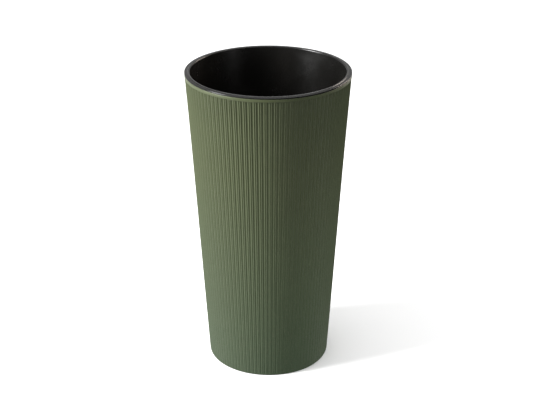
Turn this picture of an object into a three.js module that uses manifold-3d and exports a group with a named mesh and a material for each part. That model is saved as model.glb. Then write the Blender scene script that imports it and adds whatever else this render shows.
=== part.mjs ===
// A tall round planter: a fluted, tapered cover pot, and a liner that hangs in its mouth.
// Millimetres, +Z up. The origin is the middle of the foot, on the surface the pot stands on.

import * as THREE from 'three';
import { mergeVertices } from 'three/addons/utils/BufferGeometryUtils.js';
import Module from 'manifold-3d';

const wasm = await Module();
wasm.setup();

// Driving dimensions of the whole planter.
const HEIGHT = 470;
const RIM_RADIUS = 124.5;
const FOOT_RADIUS = 94.6;
const WAIST = 0.047; // how far the wall pulls in half way up, as a share of its taper
const FLARE = 0.103; // how much of the taper is moved from the middle towards both ends
const GAP = 0.3; // between the liner's flange and the pot's lip

// The cover pot.
const POT_WALL = 2.6; // behind the flutes' deepest place, at the rim
const FLUTES = 104;
const FLUTE_DEPTH = 1.2; // at the rim
const NARROW_FLUTE_DEPTH = 0.8; // at the rim
const FLUTE_FOOT_SHARE = 0.4; // of the depth at the rim, that a flute still has at the foot
const WIDE_FLUTE_SHARE = 5 / 8; // of the pitch; the narrow flute takes the rest
const FLUTE_END = 1; // height over which a flute runs out under the lip
const LIP_HEIGHT = 4.2;
const LIP_SETBACK = 0.1; // behind the flange's outer face
const LIP_EDGE = 0.5;
const FOOT_EDGE = 2;
const WALL_BANDS = 4;
const FOOT_WIDTH = 13;
const FOOT_RECESS = 5; // height of the underside's recess above the foot
const POT_FLOOR = 3;
const FOOT_DRAFT = 4.5;

// The liner.
const FLANGE_THICKNESS = 1.8;
const FLANGE_EDGE = 0.5;
const BEAD_HEIGHT = 0.5; // the bead stands this far above the flange's flat
const BEAD_WIDTH = 3.2;
const FLANGE_WIDTH = 8;
const LINER_WALL = 2;
const LINER_DEPTH = 235;
const LINER_FLOOR_RADIUS = 97;
const LINER_FLOOR_EDGE = 6;
const LOCATOR_CLEARANCE = 0.5; // the locating ring's play in the pot's mouth
const LOCATOR_DEPTH = 7;
const LOCATOR_DRAFT = 2;
const KNOCKOUTS = 4;
const KNOCKOUT_RADIUS = 6;
const KNOCKOUT_DEPTH = 1;
const KNOCKOUT_CIRCLE = 55;

const SEGMENTS = 104; // round the smooth walls
const OVERRUN = 5; // how far a cutting tool passes the face it cuts

// Heights that follow from them.
const flangeTop = HEIGHT - BEAD_HEIGHT;
const flangeUnderside = flangeTop - FLANGE_THICKNESS;
const potTop = flangeUnderside - GAP;
const lipBottom = potTop - LIP_HEIGHT;
const linerBottom = potTop - LINER_DEPTH;

// The outer wall's radius at the flutes' crests: a taper with a slight waist and flared ends.
function wallRadius(z) {
  const rise = z / HEIGHT;
  const waist = WAIST * rise * (rise - 1);
  const flare = FLARE * rise * (rise - 1) * (2 * rise - 1);
  return FOOT_RADIUS + (RIM_RADIUS - FOOT_RADIUS) * (rise + waist + flare);
}

function potInnerRadius(z) {
  return wallRadius(z) - FLUTE_DEPTH - POT_WALL;
}

// One ring of the fluted wall, with four points to a pitch: wide flute, crest, narrow flute, crest.
function flutedRing(z, radius, fluteShare) {
  const pitch = (2 * Math.PI) / FLUTES;
  const depthShare = fluteShare * (FLUTE_FOOT_SHARE + ((1 - FLUTE_FOOT_SHARE) * z) / HEIGHT);
  const outline = [
    [0, FLUTE_DEPTH],
    [WIDE_FLUTE_SHARE / 2, 0],
    [0.5, NARROW_FLUTE_DEPTH],
    [1 - WIDE_FLUTE_SHARE / 2, 0],
  ];
  const ring = [];
  for (let flute = 0; flute < FLUTES; flute += 1) {
    for (const [place, depth] of outline) {
      const angle = (flute + place) * pitch;
      const r = radius - depth * depthShare;
      ring.push(new THREE.Vector3(r * Math.cos(angle), r * Math.sin(angle), z));
    }
  }
  return ring;
}

// Skins a stack of rings with the same number of points, and caps the first and the last.
function skinRings(rings) {
  const count = rings[0].length;
  const points = rings.flat();
  const bottomCentre = points.length;
  const topCentre = points.length + 1;
  points.push(new THREE.Vector3(0, 0, rings[0][0].z));
  points.push(new THREE.Vector3(0, 0, rings.at(-1)[0].z));
  const faces = [];
  for (let level = 0; level < rings.length - 1; level += 1) {
    for (let i = 0; i < count; i += 1) {
      const here = level * count + i;
      const next = level * count + ((i + 1) % count);
      faces.push(here, next, next + count);
      faces.push(here, next + count, here + count);
    }
  }
  const lastRing = (rings.length - 1) * count;
  for (let i = 0; i < count; i += 1) {
    const next = (i + 1) % count;
    faces.push(bottomCentre, next, i);
    faces.push(topCentre, lastRing + i, lastRing + next);
  }
  const geometry = new THREE.BufferGeometry().setFromPoints(points);
  geometry.setIndex(faces);
  return geometry;
}

// Turns an outline of [radius, height] pairs about Z, running up the outside and down the inside.
function turned(outline, segments = SEGMENTS) {
  const points = outline.map(([radius, height]) => new THREE.Vector2(radius, height));
  return new THREE.LatheGeometry(points, segments).rotateX(Math.PI / 2);
}

// A closed geometry as a solid that can be joined and cut.
function solidOf(geometry) {
  const bare = geometry.clone();
  bare.deleteAttribute('normal');
  bare.deleteAttribute('uv');
  const merged = mergeVertices(bare, 1e-4);
  const corners = Array.from(merged.index.array);
  const faces = [];
  for (let i = 0; i < corners.length; i += 3) {
    const [a, b, c] = corners.slice(i, i + 3);
    if (a !== b && b !== c && c !== a) {
      faces.push(a, b, c);
    }
  }
  const mesh = new wasm.Mesh({
    numProp: 3,
    vertProperties: new Float32Array(merged.attributes.position.array),
    triVerts: new Uint32Array(faces),
  });
  return new wasm.Manifold(mesh);
}

function geometryOf(solid) {
  const { vertProperties, triVerts } = solid.getMesh();
  const geometry = new THREE.BufferGeometry();
  geometry.setAttribute('position', new THREE.BufferAttribute(vertProperties, 3));
  geometry.setIndex(new THREE.BufferAttribute(triVerts, 1));
  geometry.computeVertexNormals();
  return geometry;
}

// The cover pot's outside: rounded foot, fluted wall, plain lip.
function potOutside() {
  const fluteTop = lipBottom - FLUTE_END;
  const rings = [flutedRing(0, wallRadius(0) - FOOT_EDGE * 0.6, 1)];
  for (let band = 0; band <= WALL_BANDS; band += 1) {
    const z = FOOT_EDGE + ((fluteTop - FOOT_EDGE) * band) / WALL_BANDS;
    rings.push(flutedRing(z, wallRadius(z), 1));
  }
  const lipRadius = RIM_RADIUS - LIP_SETBACK;
  rings.push(flutedRing(lipBottom, lipRadius, 0));
  rings.push(flutedRing(potTop - LIP_EDGE, lipRadius, 0));
  rings.push(flutedRing(potTop, lipRadius - LIP_EDGE, 0));
  return skinRings(rings);
}

// The cover pot's inside: a raised floor with a gutter round it, and the wall up to the mouth.
function potCavity() {
  const raisedFloor = FOOT_RECESS + POT_FLOOR;
  const gutterInner = FOOT_RADIUS - FOOT_WIDTH;
  const outline = [
    [0, raisedFloor],
    [gutterInner - FOOT_DRAFT, raisedFloor],
    [gutterInner, POT_FLOOR],
    [potInnerRadius(POT_FLOOR) - FOOT_EDGE, POT_FLOOR],
  ];
  for (let band = 0; band <= WALL_BANDS; band += 1) {
    const low = POT_FLOOR + FOOT_EDGE;
    const z = low + ((potTop - low) * band) / WALL_BANDS;
    outline.push([potInnerRadius(z), z]);
  }
  outline.push([potInnerRadius(potTop), potTop + OVERRUN]);
  outline.push([0, potTop + OVERRUN]);
  return turned(outline);
}

// The recess under the cover pot's floor, inside the ring it stands on.
function footRecess() {
  const footInner = FOOT_RADIUS - FOOT_WIDTH - POT_FLOOR / 2;
  return turned([
    [0, -OVERRUN],
    [footInner, -OVERRUN],
    [footInner, 0],
    [footInner - FOOT_DRAFT, FOOT_RECESS],
    [0, FOOT_RECESS],
  ]);
}

function makeOuterPot() {
  return solidOf(potOutside()).subtract(solidOf(potCavity())).subtract(solidOf(footRecess()));
}

// The liner in section: floor, tapered wall, locating ring, flange and the bead round its mouth.
function linerShell() {
  const mouthRadius = RIM_RADIUS - FLANGE_WIDTH;
  const wallTop = mouthRadius + LINER_WALL;
  const locator = potInnerRadius(potTop) - LOCATOR_CLEARANCE;
  const locatorBottom = potTop - LOCATOR_DEPTH;
  const floorTop = linerBottom + LINER_WALL;
  const innerFloor = LINER_FLOOR_RADIUS - LINER_WALL;
  const beadMiddle = mouthRadius + BEAD_WIDTH / 2;
  return turned([
    [0, linerBottom],
    [LINER_FLOOR_RADIUS - LINER_FLOOR_EDGE, linerBottom],
    [LINER_FLOOR_RADIUS, linerBottom + LINER_FLOOR_EDGE],
    [wallTop, locatorBottom - LOCATOR_DRAFT],
    [locator, locatorBottom],
    [locator, flangeUnderside],
    [RIM_RADIUS, flangeUnderside],
    [RIM_RADIUS, flangeTop - FLANGE_EDGE],
    [RIM_RADIUS - FLANGE_EDGE, flangeTop],
    [mouthRadius + BEAD_WIDTH, flangeTop],
    [beadMiddle + BEAD_WIDTH / 4, HEIGHT],
    [beadMiddle - BEAD_WIDTH / 4, HEIGHT],
    [mouthRadius, flangeTop - BEAD_HEIGHT],
    [innerFloor, linerBottom + LINER_FLOOR_EDGE],
    [innerFloor - LINER_FLOOR_EDGE + LINER_WALL / 2, floorTop],
    [0, floorTop],
  ]);
}

// Thin spots under the liner's floor that can be knocked out for drainage.
function knockout(index) {
  const angle = ((index + 0.5) * 2 * Math.PI) / KNOCKOUTS;
  const disc = new THREE.CylinderGeometry(KNOCKOUT_RADIUS, KNOCKOUT_RADIUS, KNOCKOUT_DEPTH * 2, 24);
  disc.rotateX(Math.PI / 2);
  disc.translate(KNOCKOUT_CIRCLE * Math.cos(angle), KNOCKOUT_CIRCLE * Math.sin(angle), linerBottom);
  return disc;
}

function makeInnerLiner() {
  let liner = solidOf(linerShell());
  for (let i = 0; i < KNOCKOUTS; i += 1) {
    liner = liner.subtract(solidOf(knockout(i)));
  }
  return liner;
}

const composite = new THREE.MeshStandardMaterial({ color: 0x566243, roughness: 0.8, metalness: 0 });
const blackPlastic = new THREE.MeshStandardMaterial({ color: 0x262521, roughness: 0.3, metalness: 0 });

const planter = new THREE.Group();
const pieces = [
  ['outer_pot', makeOuterPot(), composite],
  ['inner_liner', makeInnerLiner(), blackPlastic],
];
for (const [name, solid, material] of pieces) {
  const mesh = new THREE.Mesh(geometryOf(solid), material);
  mesh.name = name;
  planter.add(mesh);
}

export default planter;
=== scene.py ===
"""Looks of a tall round planter: a fluted cover pot of green wood-fibre composite, and a semi-gloss
black liner that hangs in its mouth. Metres, +Z up, in the CAD model's own frame."""

import math

import bmesh
import bpy
from mathutils import Matrix, Vector


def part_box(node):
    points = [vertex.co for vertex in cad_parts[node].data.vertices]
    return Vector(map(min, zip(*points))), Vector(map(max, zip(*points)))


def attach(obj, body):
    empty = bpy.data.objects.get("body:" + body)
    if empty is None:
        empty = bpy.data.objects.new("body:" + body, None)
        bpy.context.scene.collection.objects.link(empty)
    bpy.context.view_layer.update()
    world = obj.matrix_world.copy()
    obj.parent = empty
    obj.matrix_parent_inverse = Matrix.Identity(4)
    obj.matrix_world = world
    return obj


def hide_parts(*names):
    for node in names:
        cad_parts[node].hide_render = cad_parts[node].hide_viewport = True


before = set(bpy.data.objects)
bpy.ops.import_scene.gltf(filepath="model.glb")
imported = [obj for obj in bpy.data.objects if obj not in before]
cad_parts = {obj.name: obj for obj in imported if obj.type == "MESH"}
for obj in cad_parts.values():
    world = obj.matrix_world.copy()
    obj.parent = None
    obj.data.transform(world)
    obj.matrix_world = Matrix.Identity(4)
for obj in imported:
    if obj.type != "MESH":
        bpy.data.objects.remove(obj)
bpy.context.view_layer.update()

MM = 0.001

# Places and sizes that the CAD model gives.
pot_low, pot_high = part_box("outer_pot")
liner_low, liner_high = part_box("inner_liner")
HEIGHT = liner_high.z
RIM_RADIUS = liner_high.x
LIP_RADIUS = pot_high.x
POT_TOP = pot_high.z
LINER_BOTTOM = liner_low.z

# The cover pot's wall, as the CAD model draws it. WAIST hollows the straight taper, by a quarter of
# its value half way up. FLARE makes the slope stronger at both ends and weaker between them.
FOOT_RADIUS = 94.6 * MM
WAIST = 0.047
FLARE = 0.103
POT_WALL = 2.6 * MM
LIP_HEIGHT = 4.2 * MM
FOOT_WIDTH = 13 * MM
FOOT_RECESS = 5 * MM
FOOT_DRAFT = 4.5 * MM
POT_FLOOR = 3 * MM

# The cover pot's roundings, and the bands that its curved wall is drawn in.
FOOT_FLAT_INSET = 3.5 * MM   # from the foot's edge in to the flat that the pot stands on
FOOT_EDGE_FILLET = 2.7 * MM
FOOT_EDGE_TOP = 6 * MM       # height of the wall point that the foot's rounding runs towards
LIP_INSIDE = 20 * MM         # how far under the rim is the inner point that the lip's runs towards
FOOT_TO_WALL = 1 * MM        # heights from a rounding to the bands next to it
LIP_TO_INSIDE = 2 * MM
INSIDE_TO_FLOOR = 6 * MM
WALL_BANDS = 9
INNER_BANDS = 2
FILLET_ROOM = 0.48           # the most that a rounding takes of each side of its corner

# Flutes: a wide one and a narrow one to each pitch, with a crest on each side of both. Their depths
# are those at the rim.
PITCHES = 104
STEPS_PER_PITCH = 16
WIDE_STEPS = 10
WIDE_DEPTH = 1.2 * MM
NARROW_DEPTH = 0.8 * MM
FOOT_DEPTH_SHARE = 0.4       # of the depth at the rim, that a flute still has at the foot
FLUTE_END = 1.2 * MM         # height over which a flute runs out under the lip
FLUTE_END_ROWS = ((0.35, 0.8), (0.7, 0.35))   # share of that height, share of the depth left there

# The liner, as the CAD model draws it, but for its bead. The CAD model's bead has a flat top, and
# this one's top slopes down from BEAD_TOP_OUTER to BEAD_TOP_INNER.
FLANGE_WIDTH = 8 * MM
FLANGE_THICKNESS = 1.8 * MM
BEAD_HEIGHT = 0.5 * MM
BEAD_WIDTH = 3.2 * MM
BEAD_TOP_OUTER = 0.75        # of the bead's width, out from the mouth
BEAD_TOP_INNER = 0.1
BEAD_SLOPE = 0.35 * MM
LINER_WALL = 2 * MM
LINER_FLOOR_RADIUS = 97 * MM
LINER_FLOOR_EDGE = 6 * MM
LOCATOR_CLEARANCE = 0.5 * MM
LOCATOR_DEPTH = 7 * MM
LOCATOR_DRAFT = 2 * MM
KNOCKOUTS = 4
KNOCKOUT_RADIUS = 6 * MM
KNOCKOUT_DEPTH = 1 * MM
KNOCKOUT_CIRCLE = 55 * MM
KNOCKOUT_SEGMENTS = 48
LINER_SEGMENTS = 256


# ---------------------------------------------------------------- outlines

def wall_radius(z):
    """The cover pot's outside at the flutes' crests: a taper with a slight waist and flared ends."""
    rise = z / HEIGHT
    waist = WAIST * rise * (rise - 1)
    flare = FLARE * rise * (rise - 1) * (2 * rise - 1)
    return FOOT_RADIUS + (RIM_RADIUS - FOOT_RADIUS) * (rise + waist + flare)


def pot_inner_radius(z):
    return wall_radius(z) - WIDE_DEPTH - POT_WALL


def fillet(before, corner, after, radius, steps):
    """The points of the arc that rounds off one corner of an outline."""
    back = (before - corner).normalized()
    ahead = (after - corner).normalized()
    half = back.angle(ahead) / 2
    room = FILLET_ROOM * min((before - corner).length, (after - corner).length)
    reach = min(radius / math.tan(half), room)
    arc_radius = reach * math.tan(half)
    centre = corner + (back + ahead).normalized() * (arc_radius / math.sin(half))
    first = corner + back * reach - centre
    last = corner + ahead * reach - centre
    sweep = first.angle(last)
    points = []
    for k in range(steps + 1):
        share = k / steps
        a = math.sin((1 - share) * sweep) / math.sin(sweep)
        b = math.sin(share * sweep) / math.sin(sweep)
        points.append(centre + first * a + last * b)
    return points


def rounded(corners, steps):
    """An outline of (radius, height, fillet) corners as points, with each corner that has a fillet
    rounded off."""
    spots = [Vector((r, z)) for r, z, _ in corners]
    points = []
    for i, (_, _, radius) in enumerate(corners):
        if radius and 0 < i < len(corners) - 1:
            points += fillet(spots[i - 1], spots[i], spots[i + 1], radius, steps)
        else:
            points.append(spots[i])
    return points


# ---------------------------------------------------------------- meshes

def flute_depth(step):
    """How deep the wall lies behind the crests at one of the steps round a pitch."""
    place = step % STEPS_PER_PITCH
    half_wide = WIDE_STEPS / 2
    half_narrow = (STEPS_PER_PITCH - WIDE_STEPS) / 2
    from_wide = min(place, STEPS_PER_PITCH - place)
    if from_wide <= half_wide:
        return WIDE_DEPTH * (1 - (from_wide / half_wide) ** 2)
    from_narrow = abs(place - STEPS_PER_PITCH / 2)
    return NARROW_DEPTH * (1 - (from_narrow / half_narrow) ** 2)


def turned(name, outline, segments, depths=None, shares=None):
    """A closed mesh turned about Z from an outline that starts and ends on the axis and runs up
    the outside. Each point is drawn in by its step's depth times its row's share."""
    verts = [(0, 0, outline[0].y)]
    for row, point in enumerate(outline[1:-1], start=1):
        share = shares[row] if shares else 0
        for step in range(segments):
            angle = 2 * math.pi * step / segments
            depth = depths[step % len(depths)] * share if share else 0
            r = point.x - depth
            verts.append((r * math.cos(angle), r * math.sin(angle), point.y))
    verts.append((0, 0, outline[-1].y))
    faces = []
    last_row = len(outline) - 3
    for step in range(segments):
        following = (step + 1) % segments
        faces.append((0, 1 + following, 1 + step))
        for row in range(last_row):
            low = 1 + row * segments
            high = low + segments
            faces.append((low + step, low + following, high + following, high + step))
        top = 1 + last_row * segments
        faces.append((top + step, top + following, len(verts) - 1))
    mesh = bpy.data.meshes.new(name)
    mesh.from_pydata(verts, [], faces)
    mesh.update()
    piece = bpy.data.objects.new(name, mesh)
    bpy.context.scene.collection.objects.link(piece)
    return piece


def shade(piece, sharp_angle=50):
    """Smooth shading, with an edge left sharp where the surface turns by more than sharp_angle."""
    for polygon in piece.data.polygons:
        polygon.use_smooth = True
    piece.data.set_sharp_from_angle(angle=math.radians(sharp_angle))


def pot_foot():
    """The underside with its recess, and then the foot's rounded edge."""
    recess = FOOT_RADIUS - FOOT_WIDTH - POT_FLOOR / 2
    under = rounded([
        (0, FOOT_RECESS, 0),
        (recess - FOOT_DRAFT, FOOT_RECESS, 1.5 * MM),
        (recess, 0, 0.8 * MM),
        (FOOT_RADIUS - FOOT_FLAT_INSET, 0, 0),
    ], steps=3)
    edge = rounded([
        (FOOT_RADIUS - FOOT_FLAT_INSET, 0, 0),
        (wall_radius(0), 0, FOOT_EDGE_FILLET),
        (wall_radius(FOOT_EDGE_TOP), FOOT_EDGE_TOP, 0),
    ], steps=6)[1:-1]
    return under, edge


def pot_wall(wall_low, flute_top):
    """The fluted wall in bands, and then the rows in which the flutes run out under the lip."""
    wall = []
    for band in range(WALL_BANDS + 1):
        z = wall_low + (flute_top - wall_low) * band / WALL_BANDS
        wall.append(Vector((wall_radius(z), z)))
    ends = []
    for rise, _ in FLUTE_END_ROWS:
        z = flute_top + FLUTE_END * rise
        ends.append(Vector((wall_radius(z), z)))
    return wall, ends


def pot_lip(flute_top):
    """The plain lip over the flutes, from its outer corner over the top to its inner one."""
    inside_low = POT_TOP - LIP_INSIDE
    return rounded([
        (wall_radius(flute_top), flute_top, 0),
        (LIP_RADIUS, POT_TOP - LIP_HEIGHT, 0.5 * MM),
        (LIP_RADIUS, POT_TOP, 0.9 * MM),
        (pot_inner_radius(POT_TOP), POT_TOP, 0.5 * MM),
        (pot_inner_radius(inside_low), inside_low, 0),
    ], steps=4)[1:-1]


def pot_inside(inner_top):
    """The inner wall from inner_top down, and then the floor with the gutter round it."""
    inner_low = POT_FLOOR + INSIDE_TO_FLOOR
    raised_floor = FOOT_RECESS + POT_FLOOR
    gutter = FOOT_RADIUS - FOOT_WIDTH
    wall = []
    for band in range(INNER_BANDS + 1):
        z = inner_top + (inner_low - inner_top) * band / INNER_BANDS
        wall.append(Vector((pot_inner_radius(z), z)))
    floor = rounded([
        (pot_inner_radius(inner_low), inner_low, 0),
        (pot_inner_radius(POT_FLOOR), POT_FLOOR, 2.5 * MM),
        (gutter, POT_FLOOR, 2 * MM),
        (gutter - FOOT_DRAFT, raised_floor, 2 * MM),
        (0, raised_floor, 0),
    ], steps=3)[1:]
    return wall + floor


def pot_outline():
    """The cover pot in section, and how much of the flutes' depth each point takes."""
    flute_top = POT_TOP - LIP_HEIGHT - FLUTE_END
    under, edge = pot_foot()
    wall, flute_ends = pot_wall(edge[-1].y + FOOT_TO_WALL, flute_top)
    lip = pot_lip(flute_top)
    inside = pot_inside(lip[-1].y - LIP_TO_INSIDE)
    outline = under + edge + wall + flute_ends + lip + inside
    shares = [0] * len(under)
    shares += [FOOT_DEPTH_SHARE * k / len(edge) for k in range(1, len(edge) + 1)]
    shares += [FOOT_DEPTH_SHARE + (1 - FOOT_DEPTH_SHARE) * point.y / HEIGHT for point in wall]
    shares += [depth_left for _, depth_left in FLUTE_END_ROWS]
    shares += [0] * (len(outline) - len(shares))
    return outline, shares


def make_pot():
    outline, shares = pot_outline()
    depths = [flute_depth(step) for step in range(STEPS_PER_PITCH)]
    pot = turned("fluted_pot", outline, PITCHES * STEPS_PER_PITCH, depths, shares)
    shade(pot)
    return pot


def liner_outline():
    """The liner in section: floor, tapered wall, locating ring, flange and the bead round its mouth."""
    flange_top = HEIGHT - BEAD_HEIGHT
    flange_under = flange_top - FLANGE_THICKNESS
    mouth = RIM_RADIUS - FLANGE_WIDTH
    locator = pot_inner_radius(POT_TOP) - LOCATOR_CLEARANCE
    locator_low = POT_TOP - LOCATOR_DEPTH
    inner_floor = LINER_FLOOR_RADIUS - LINER_WALL
    return rounded([
        (0, LINER_BOTTOM, 0),
        (LINER_FLOOR_RADIUS - LINER_FLOOR_EDGE, LINER_BOTTOM, 5 * MM),
        (LINER_FLOOR_RADIUS, LINER_BOTTOM + LINER_FLOOR_EDGE, 5 * MM),
        (mouth + LINER_WALL, locator_low - LOCATOR_DRAFT, 1.5 * MM),
        (locator, locator_low, 1 * MM),
        (locator, flange_under, 0.4 * MM),
        (RIM_RADIUS, flange_under, 0.4 * MM),
        (RIM_RADIUS, flange_top, 0.6 * MM),
        (mouth + BEAD_WIDTH, flange_top, 0.5 * MM),
        (mouth + BEAD_WIDTH * BEAD_TOP_OUTER, HEIGHT, 0.6 * MM),
        (mouth + BEAD_WIDTH * BEAD_TOP_INNER, HEIGHT - BEAD_SLOPE, 0.6 * MM),
        (mouth, flange_top - BEAD_HEIGHT, 0.6 * MM),
        (inner_floor, LINER_BOTTOM + LINER_FLOOR_EDGE, 5 * MM),
        (inner_floor - LINER_FLOOR_EDGE + LINER_WALL / 2, LINER_BOTTOM + LINER_WALL, 5 * MM),
        (0, LINER_BOTTOM + LINER_WALL, 0),
    ], steps=6)


def knockout_discs():
    """The space that the four knock-outs take out of the liner's underside."""
    discs = bmesh.new()
    for k in range(KNOCKOUTS):
        angle = 2 * math.pi * (k + 0.5) / KNOCKOUTS
        place = Vector((math.cos(angle), math.sin(angle), 0)) * KNOCKOUT_CIRCLE
        place.z = LINER_BOTTOM
        bmesh.ops.create_cone(discs, cap_ends=True, segments=KNOCKOUT_SEGMENTS,
                              radius1=KNOCKOUT_RADIUS, radius2=KNOCKOUT_RADIUS,
                              depth=2 * KNOCKOUT_DEPTH, matrix=Matrix.Translation(place))
    mesh = bpy.data.meshes.new("knockout_discs")
    discs.to_mesh(mesh)
    discs.free()
    return bpy.data.objects.new("knockout_discs", mesh)


def make_liner():
    liner = turned("lift_out_liner", liner_outline(), LINER_SEGMENTS)
    cutter = knockout_discs()
    bpy.context.scene.collection.objects.link(cutter)
    cut = liner.modifiers.new("knockouts", "BOOLEAN")
    cut.operation = "DIFFERENCE"
    cut.object = cutter
    depsgraph = bpy.context.evaluated_depsgraph_get()
    liner.data = bpy.data.meshes.new_from_object(liner.evaluated_get(depsgraph))
    liner.data.name = liner.name
    liner.modifiers.clear()
    bpy.data.objects.remove(cutter)
    shade(liner, sharp_angle=35)
    return liner


# ---------------------------------------------------------------- materials

class Nodes:
    """A short way to build one material's node tree."""

    def __init__(self, name):
        self.material = bpy.data.materials.new(name)
        self.material.use_nodes = True
        self.tree = self.material.node_tree
        self.shader = self.tree.nodes["Principled BSDF"]
        self.place = self.add("ShaderNodeTexCoord").outputs["Object"]

    def add(self, kind, **settings):
        node = self.tree.nodes.new(kind)
        for key, value in settings.items():
            setattr(node, key, value)
        return node

    def link(self, source, target):
        self.tree.links.new(source, target)

    def stretched(self, scale, turn):
        """The object's coordinates, scaled and then turned."""
        node = self.add("ShaderNodeMapping")
        node.inputs["Scale"].default_value = scale
        node.inputs["Rotation"].default_value = turn
        self.link(self.place, node.inputs["Vector"])
        return node.outputs["Vector"]

    def noise(self, scale, detail=2.0, roughness=0.5):
        node = self.add("ShaderNodeTexNoise")
        node.inputs["Scale"].default_value = scale
        node.inputs["Detail"].default_value = detail
        node.inputs["Roughness"].default_value = roughness
        self.link(self.place, node.inputs["Vector"])
        return node.outputs["Fac"]

    def cells(self, scale, place):
        """Voronoi cells: the distance to each cell's centre, and a random colour for each."""
        node = self.add("ShaderNodeTexVoronoi")
        node.inputs["Scale"].default_value = scale
        self.link(place, node.inputs["Vector"])
        return node.outputs["Distance"], node.outputs["Color"]

    def ramp(self, value, low, high, out_low=0.0, out_high=1.0):
        node = self.add("ShaderNodeMapRange")
        node.inputs["From Min"].default_value = low
        node.inputs["From Max"].default_value = high
        node.inputs["To Min"].default_value = out_low
        node.inputs["To Max"].default_value = out_high
        self.link(value, node.inputs["Value"])
        return node.outputs["Result"]

    def math(self, operation, a, b):
        node = self.add("ShaderNodeMath", operation=operation)
        for socket, value in zip(node.inputs, (a, b)):
            if isinstance(value, (int, float)):
                socket.default_value = value
            else:
                self.link(value, socket)
        return node.outputs["Value"]

    def mix(self, share, a, b):
        node = self.add("ShaderNodeMix", data_type="RGBA")
        self.link(share, node.inputs["Factor"])
        for socket, value in ((node.inputs[6], a), (node.inputs[7], b)):
            if isinstance(value, tuple):
                socket.default_value = (*value, 1)
            else:
                self.link(value, socket)
        return node.outputs[2]

    def bump(self, height, distance, strength, under=None):
        node = self.add("ShaderNodeBump")
        node.inputs["Strength"].default_value = strength
        node.inputs["Distance"].default_value = distance
        self.link(height, node.inputs["Height"])
        if under is not None:
            self.link(under, node.inputs["Normal"])
        return node.outputs["Normal"]


FOOT_GREEN = (0.050, 0.073, 0.038)
# The rim's colour is more olive than the foot's, and painted lighter: painted light standing in for the
# stronger light on the top. The wall has it fully from the share of the height given below.
RIM_OLIVE_PAINTED_LIGHTER = (0.073, 0.088, 0.041)
OLIVE_AND_LIGHTER_FROM = 0.75       # share of the height from which the wall is fully olive
SHADE = 0.93            # of the mottling's darker patches
FIBRE_PALE = (0.14, 0.14, 0.09)
FIBRE_BROWN = (0.055, 0.040, 0.018)
# Layers of flecks: the turn that sets each layer's pattern off from the others, its colour, and the
# share of its cells that stay plain.
FLECKS = ((0.5, FIBRE_PALE, 0.86), (-0.7, FIBRE_BROWN, 0.80), (1.3, FIBRE_PALE, 0.9))
FLECK_SCALE = 1400
FLECK_STRETCH = (1, 1, 0.3)
FLECK_STRENGTH = 0.5
BLACK = (0.0042, 0.0040, 0.0036)
BLACK_WORN = (0.0062, 0.0060, 0.0054)
FLOOR_DIM = (0.86, 0.86, 0.86)
FLOOR_WHITE = (0.88, 0.88, 0.88)


def composite():
    """Matt plastic filled with wood fibre, green at the foot and more olive at the rim, and painted
    lighter towards the rim: painted light for the stronger light on the top. Rougher
    towards the foot: soft mottling, pale and brown flecks, fine grain."""
    n = Nodes("green_composite")
    height = n.add("ShaderNodeSeparateXYZ")
    n.link(n.place, height.inputs["Vector"])
    # Painted light: the base colour runs from the foot's green to the rim's lighter olive, so the top
    # is painted lighter.
    rise = n.ramp(height.outputs["Z"], 0, OLIVE_AND_LIGHTER_FROM * HEIGHT)
    light = n.mix(rise, FOOT_GREEN, RIM_OLIVE_PAINTED_LIGHTER)
    dark = n.mix(rise, tuple(SHADE * c for c in FOOT_GREEN), tuple(SHADE * c for c in RIM_OLIVE_PAINTED_LIGHTER))
    mottling = n.ramp(n.noise(60, detail=4, roughness=0.6), 0.3, 0.7)
    colour = n.mix(mottling, dark, light)
    for turn, tint, plain in FLECKS:
        place = n.stretched(FLECK_STRETCH, (turn, turn * 0.6, turn))
        distance, random_colour = n.cells(FLECK_SCALE, place)
        split = n.add("ShaderNodeSeparateColor")
        n.link(random_colour, split.inputs["Color"])
        chosen = n.math("GREATER_THAN", split.outputs["Red"], plain)
        core = n.ramp(distance, 0.45, 0.15)
        strength = n.math("MULTIPLY", n.math("MULTIPLY", chosen, core), FLECK_STRENGTH)
        colour = n.mix(strength, colour, tint)
    n.link(colour, n.shader.inputs["Base Color"])
    patches = n.ramp(n.noise(260, detail=3), 0.3, 0.7, out_low=0.36, out_high=0.48)
    towards_foot = n.ramp(rise, 0, 1, out_low=0.3, out_high=0)
    n.link(n.math("ADD", patches, towards_foot), n.shader.inputs["Roughness"])
    n.shader.inputs["Specular IOR Level"].default_value = 0.36
    n.shader.inputs["Sheen Weight"].default_value = 0.2
    n.shader.inputs["Sheen Roughness"].default_value = 0.4
    grain = n.bump(n.noise(900, detail=3, roughness=0.6), 0.12 * MM, strength=0.5)
    swell = n.bump(n.noise(170), 0.2 * MM, strength=0.25, under=grain)
    n.link(swell, n.shader.inputs["Normal"])
    return n.material


def black_plastic():
    """Semi-gloss black moulded plastic: a slight sheen, uneven here and there."""
    n = Nodes("black_plastic")
    bloom = n.ramp(n.noise(18, detail=3), 0.35, 0.7)
    n.link(n.mix(bloom, BLACK, BLACK_WORN), n.shader.inputs["Base Color"])
    patches = n.ramp(n.noise(40, detail=3), 0.3, 0.7, out_low=0.2, out_high=0.28)
    n.link(patches, n.shader.inputs["Roughness"])
    n.link(n.bump(n.noise(1100), 0.02 * MM, strength=0.4), n.shader.inputs["Normal"])
    return n.material


def floor_material():
    """Matt white, a shade uneven."""
    n = Nodes("studio_floor")
    n.link(n.mix(n.noise(3), FLOOR_DIM, FLOOR_WHITE), n.shader.inputs["Base Color"])
    n.shader.inputs["Roughness"].default_value = 0.9
    n.shader.inputs["Specular IOR Level"].default_value = 0.1
    return n.material


# ---------------------------------------------------------------- studio

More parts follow.
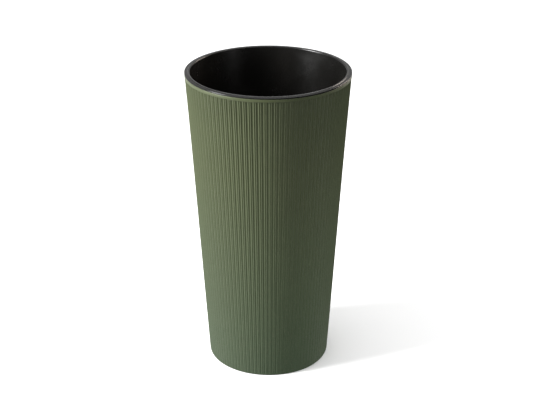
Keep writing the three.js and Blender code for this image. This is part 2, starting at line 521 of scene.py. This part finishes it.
FLOOR_REACH = 15.0      # from the middle of the floor to its sides
WORLD_SIDE = 0.8        # brightness of the backdrop where it is brightest
WORLD_FRONT = 0.15      # and opposite that
WORLD_OVERHEAD = 0.12   # what share of that is left overhead
WORLD_BRIGHTEST = (-0.8, 0.6, 0)
SKY_WIDTH = 80          # of the patch of sky that lights from overhead, in degrees

CAMERA_ELEVATION = math.radians(24.16)
CAMERA_DISTANCE = 1.959
CAMERA_TARGET = Vector((0.0064, 0, 0.2587))
CAMERA_LENS = 83.46
CAMERA_SENSOR = 36


def make_floor():
    """A wide white floor. It shows to the camera, but throws no light back on the planter and isn't
    mirrored in it."""
    mesh = bpy.data.meshes.new("studio_floor")
    signs = ((-1, -1), (1, -1), (1, 1), (-1, 1))
    mesh.from_pydata([(x * FLOOR_REACH, y * FLOOR_REACH, 0) for x, y in signs], [], [(0, 1, 2, 3)])
    floor = bpy.data.objects.new("studio_floor", mesh)
    floor.data.materials.append(floor_material())
    bpy.context.scene.collection.objects.link(floor)
    floor.visible_diffuse = False
    floor.visible_glossy = False
    return floor


def aim(thing, target):
    """Turns a lamp or camera to look at a point."""
    thing.rotation_euler = (target - thing.location).to_track_quat("-Z", "Y").to_euler()


def area_light(name, place, target, size, power, colour=(1, 1, 1), only=None, glossy=True):
    """A rectangular lamp that the camera can't see. It lights everything, or only one collection,
    and can be kept from being mirrored."""
    data = bpy.data.lights.new(name, "AREA")
    data.shape = "RECTANGLE"
    data.size, data.size_y = size
    data.energy = power
    data.color = colour
    light = bpy.data.objects.new(name, data)
    light.location = place
    light.visible_camera = False
    light.visible_glossy = glossy
    light.light_linking.receiver_collection = only
    aim(light, Vector(target))
    bpy.context.scene.collection.objects.link(light)


def sky_light(name, strength, only):
    """Light on one collection from a wide patch of sky straight overhead."""
    data = bpy.data.lights.new(name, "SUN")
    data.energy = strength
    data.angle = math.radians(SKY_WIDTH)
    light = bpy.data.objects.new(name, data)
    light.light_linking.receiver_collection = only
    bpy.context.scene.collection.objects.link(light)


def make_lights(ground, planter):
    """The key at the left throws the shadow. The others fill in, on the planter or the floor only."""
    area_light("key", place=(-2.2, -0.67, 1.4), target=(0, 0, 0.3), size=(0.8, 1.6), power=158)
    area_light("right", place=(1.5, 1.2, 1.35), target=(0, 0, 0.45), size=(1.2, 1.0), power=42,
               colour=(1, 0.86, 0.76), only=planter)
    area_light("low", place=(0.38, -0.45, 0.05), target=(0, 0, 0.1), size=(0.6, 0.12), power=2.0,
               colour=(0.98, 1, 1.1), only=planter, glossy=False)
    sky_light("overhead", 3.7, ground)
    sky_light("overhead_soft", 2.8, planter)


def make_world():
    """A white backdrop, brightest behind the object at the left, dimmer overhead and opposite."""
    world = bpy.data.worlds.new("studio")
    world.use_nodes = True
    bpy.context.scene.world = world
    tree = world.node_tree
    background = tree.nodes["Background"]
    place = tree.nodes.new("ShaderNodeTexCoord")
    split = tree.nodes.new("ShaderNodeSeparateXYZ")
    tree.links.new(place.outputs["Generated"], split.inputs["Vector"])

    def fade(value, start, end, low, high):
        node = tree.nodes.new("ShaderNodeMapRange")
        node.interpolation_type = "SMOOTHSTEP"
        node.inputs["From Min"].default_value = start
        node.inputs["From Max"].default_value = end
        node.inputs["To Min"].default_value = low
        node.inputs["To Max"].default_value = high
        tree.links.new(value, node.inputs["Value"])
        return node.outputs["Result"]

    def product(a, b):
        node = tree.nodes.new("ShaderNodeMath")
        node.operation = "MULTIPLY"
        tree.links.new(a, node.inputs[0])
        tree.links.new(b, node.inputs[1])
        return node.outputs["Value"]

    towards = tree.nodes.new("ShaderNodeVectorMath")
    towards.operation = "DOT_PRODUCT"
    tree.links.new(place.outputs["Generated"], towards.inputs[0])
    towards.inputs[1].default_value = WORLD_BRIGHTEST
    height = fade(split.outputs["Z"], 0.1, 0.55, low=1.0, high=WORLD_OVERHEAD)
    side = fade(towards.outputs["Value"], -0.5, 0.7, low=WORLD_FRONT, high=WORLD_SIDE)
    tree.links.new(product(height, side), background.inputs["Strength"])
    background.inputs["Color"].default_value = (1, 1, 1, 1)


def make_camera():
    data = bpy.data.cameras.new("camera")
    data.lens = CAMERA_LENS
    data.sensor_width = CAMERA_SENSOR
    camera = bpy.data.objects.new("camera", data)
    back = Vector((0, -math.cos(CAMERA_ELEVATION), math.sin(CAMERA_ELEVATION)))
    camera.location = CAMERA_TARGET + back * CAMERA_DISTANCE
    aim(camera, CAMERA_TARGET)
    bpy.context.scene.collection.objects.link(camera)
    bpy.context.scene.camera = camera


# ---------------------------------------------------------------- the object

pot = make_pot()
pot.data.materials.append(composite())
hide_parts("outer_pot")
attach(pot, "pot")

liner = make_liner()
liner.data.materials.append(black_plastic())
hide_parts("inner_liner")
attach(liner, "liner")

make_world()
ground = bpy.data.collections.new("ground")
ground.objects.link(make_floor())
planter = bpy.data.collections.new("planter")
planter.objects.link(pot)
planter.objects.link(liner)
make_lights(ground, planter)
make_camera()
bpy.context.scene.view_settings.view_transform = "Standard"
